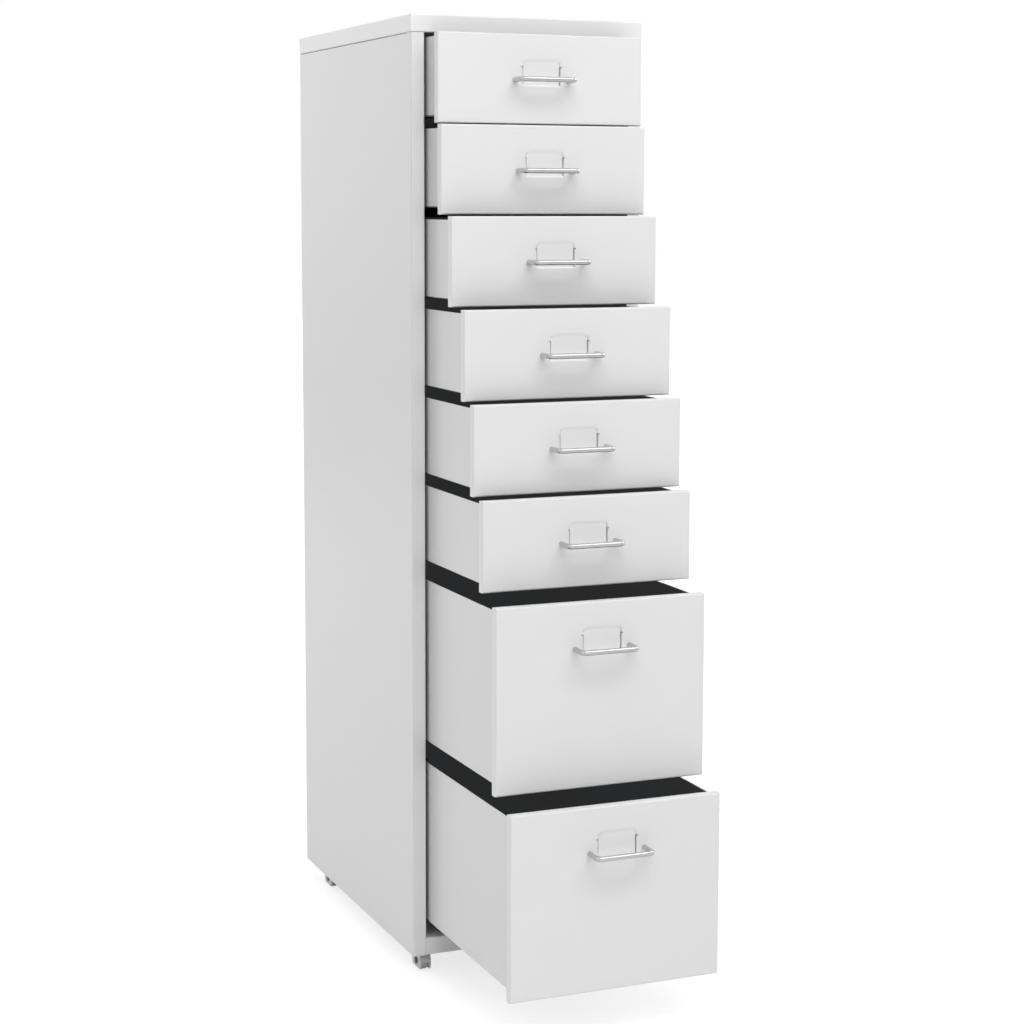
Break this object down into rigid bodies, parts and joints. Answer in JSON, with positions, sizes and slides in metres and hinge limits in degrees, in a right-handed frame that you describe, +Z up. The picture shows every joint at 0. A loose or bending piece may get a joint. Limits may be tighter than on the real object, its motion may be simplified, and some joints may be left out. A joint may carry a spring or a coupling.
{
  "type": "drawer cabinet",
  "caption": "Slim steel cabinet with a stack of sliding drawers, bow handles and pressed label recesses, standing on small swivel castors.",
  "frame": {"origin": "on the floor under the middle of the object's box, measured with the drawers pulled out as pictured", "axes": "+X to the cabinet's right seen from the front, +Y to its back, +Z up; the drawers open towards -Y"},
  "size_m": [0.28, 0.6844, 1.094],
  "materials": {
    "carcass_paint": "light grey powder coat, satin",
    "front_paint": "light grey powder coat, satin",
    "tray_paint": "light grey powder coat outside, charcoal inside",
    "runner_steel": "charcoal coated steel",
    "handle_chrome": "polished",
    "zinc": "zinc plated",
    "castor_plastic": "grey moulded plastic",
    "wheel_plastic": "grey moulded plastic, smooth tread"
  },
  "bodies": {
    "carcass": {"left_side_panel": "carcass_paint", "right_side_panel": "carcass_paint", "back_panel": "carcass_paint", "top_cap": "carcass_paint", "base_pan": "carcass_paint", "left_small_runners": "runner_steel", "right_small_runners": "runner_steel", "left_large_runners": "runner_steel", "right_large_runners": "runner_steel", "back_screws": "zinc", "cap_screws": "zinc", "castor_stems": "zinc", "castor_nuts": "zinc"},
    "drawer_1": {"front_1": "front_paint", "tray_1": "tray_paint", "handle_1": "handle_chrome", "handle_screws_1": "zinc"},
    "drawer_2": {"front_2": "front_paint", "tray_2": "tray_paint", "handle_2": "handle_chrome", "handle_screws_2": "zinc"},
    "drawer_3": {"front_3": "front_paint", "tray_3": "tray_paint", "handle_3": "handle_chrome", "handle_screws_3": "zinc"},
    "drawer_4": {"front_4": "front_paint", "tray_4": "tray_paint", "handle_4": "handle_chrome", "handle_screws_4": "zinc"},
    "drawer_5": {"front_5": "front_paint", "tray_5": "tray_paint", "handle_5": "handle_chrome", "handle_screws_5": "zinc"},
    "drawer_6": {"front_6": "front_paint", "tray_6": "tray_paint", "handle_6": "handle_chrome", "handle_screws_6": "zinc"},
    "drawer_7": {"front_7": "front_paint", "tray_7": "tray_paint", "handle_7": "handle_chrome", "handle_screws_7": "zinc"},
    "drawer_8": {"front_8": "front_paint", "tray_8": "tray_paint", "handle_8": "handle_chrome", "handle_screws_8": "zinc"},
    "castor_front_left": {"castor_housing_front_left": "castor_plastic", "castor_axle_front_left": "zinc"},
    "wheel_front_left": {"castor_wheel_front_left": "wheel_plastic"},
    "castor_front_right": {"castor_housing_front_right": "castor_plastic", "castor_axle_front_right": "zinc"},
    "wheel_front_right": {"castor_wheel_front_right": "wheel_plastic"},
    "castor_rear_left": {"castor_housing_rear_left": "castor_plastic", "castor_axle_rear_left": "zinc"},
    "wheel_rear_left": {"castor_wheel_rear_left": "wheel_plastic"},
    "castor_rear_right": {"castor_housing_rear_right": "castor_plastic", "castor_axle_rear_right": "zinc"},
    "wheel_rear_right": {"castor_wheel_rear_right": "wheel_plastic"}
  },
  "joints": [
    {"name": "drawer_1_slide", "type": "slide", "parent": "carcass", "child": "drawer_1", "axis": [0, -1, 0], "range_m": [-0.037, 0.283]},
    {"name": "drawer_2_slide", "type": "slide", "parent": "carcass", "child": "drawer_2", "axis": [0, -1, 0], "range_m": [-0.047, 0.273]},
    {"name": "drawer_3_slide", "type": "slide", "parent": "carcass", "child": "drawer_3", "axis": [0, -1, 0], "range_m": [-0.078, 0.242]},
    {"name": "drawer_4_slide", "type": "slide", "parent": "carcass", "child": "drawer_4", "axis": [0, -1, 0], "range_m": [-0.116, 0.204]},
    {"name": "drawer_5_slide", "type": "slide", "parent": "carcass", "child": "drawer_5", "axis": [0, -1, 0], "range_m": [-0.143, 0.177]},
    {"name": "drawer_6_slide", "type": "slide", "parent": "carcass", "child": "drawer_6", "axis": [0, -1, 0], "range_m": [-0.169, 0.151]},
    {"name": "drawer_7_slide", "type": "slide", "parent": "carcass", "child": "drawer_7", "axis": [0, -1, 0], "range_m": [-0.206, 0.114]},
    {"name": "drawer_8_slide", "type": "slide", "parent": "carcass", "child": "drawer_8", "axis": [0, -1, 0], "range_m": [-0.247, 0.073]},
    {"name": "castor_front_left_swivel", "type": "hinge", "parent": "carcass", "child": "castor_front_left", "pos_m": [-0.1195, -0.0317, 0.036], "axis": [0, 0, 1], "continuous": true},
    {"name": "wheel_front_left_turn", "type": "hinge", "parent": "castor_front_left", "child": "wheel_front_left", "pos_m": [-0.1195, -0.0412, 0.011], "axis": [1, 0, 0], "continuous": true},
    {"name": "castor_front_right_swivel", "type": "hinge", "parent": "carcass", "child": "castor_front_right", "pos_m": [0.1195, -0.0317, 0.036], "axis": [0, 0, 1], "continuous": true},
    {"name": "wheel_front_right_turn", "type": "hinge", "parent": "castor_front_right", "child": "wheel_front_right", "pos_m": [0.1195, -0.0412, 0.011], "axis": [1, 0, 0], "continuous": true},
    {"name": "castor_rear_left_swivel", "type": "hinge", "parent": "carcass", "child": "castor_rear_left", "pos_m": [-0.1195, 0.3013, 0.036], "axis": [0, 0, 1], "continuous": true},
    {"name": "wheel_rear_left_turn", "type": "hinge", "parent": "castor_rear_left", "child": "wheel_rear_left", "pos_m": [-0.1195, 0.2918, 0.011], "axis": [1, 0, 0], "continuous": true},
    {"name": "castor_rear_right_swivel", "type": "hinge", "parent": "carcass", "child": "castor_rear_right", "pos_m": [0.1195, 0.3013, 0.036], "axis": [0, 0, 1], "continuous": true},
    {"name": "wheel_rear_right_turn", "type": "hinge", "parent": "castor_rear_right", "child": "wheel_rear_right", "pos_m": [0.1195, 0.2918, 0.011], "axis": [1, 0, 0], "continuous": true}
  ]
}
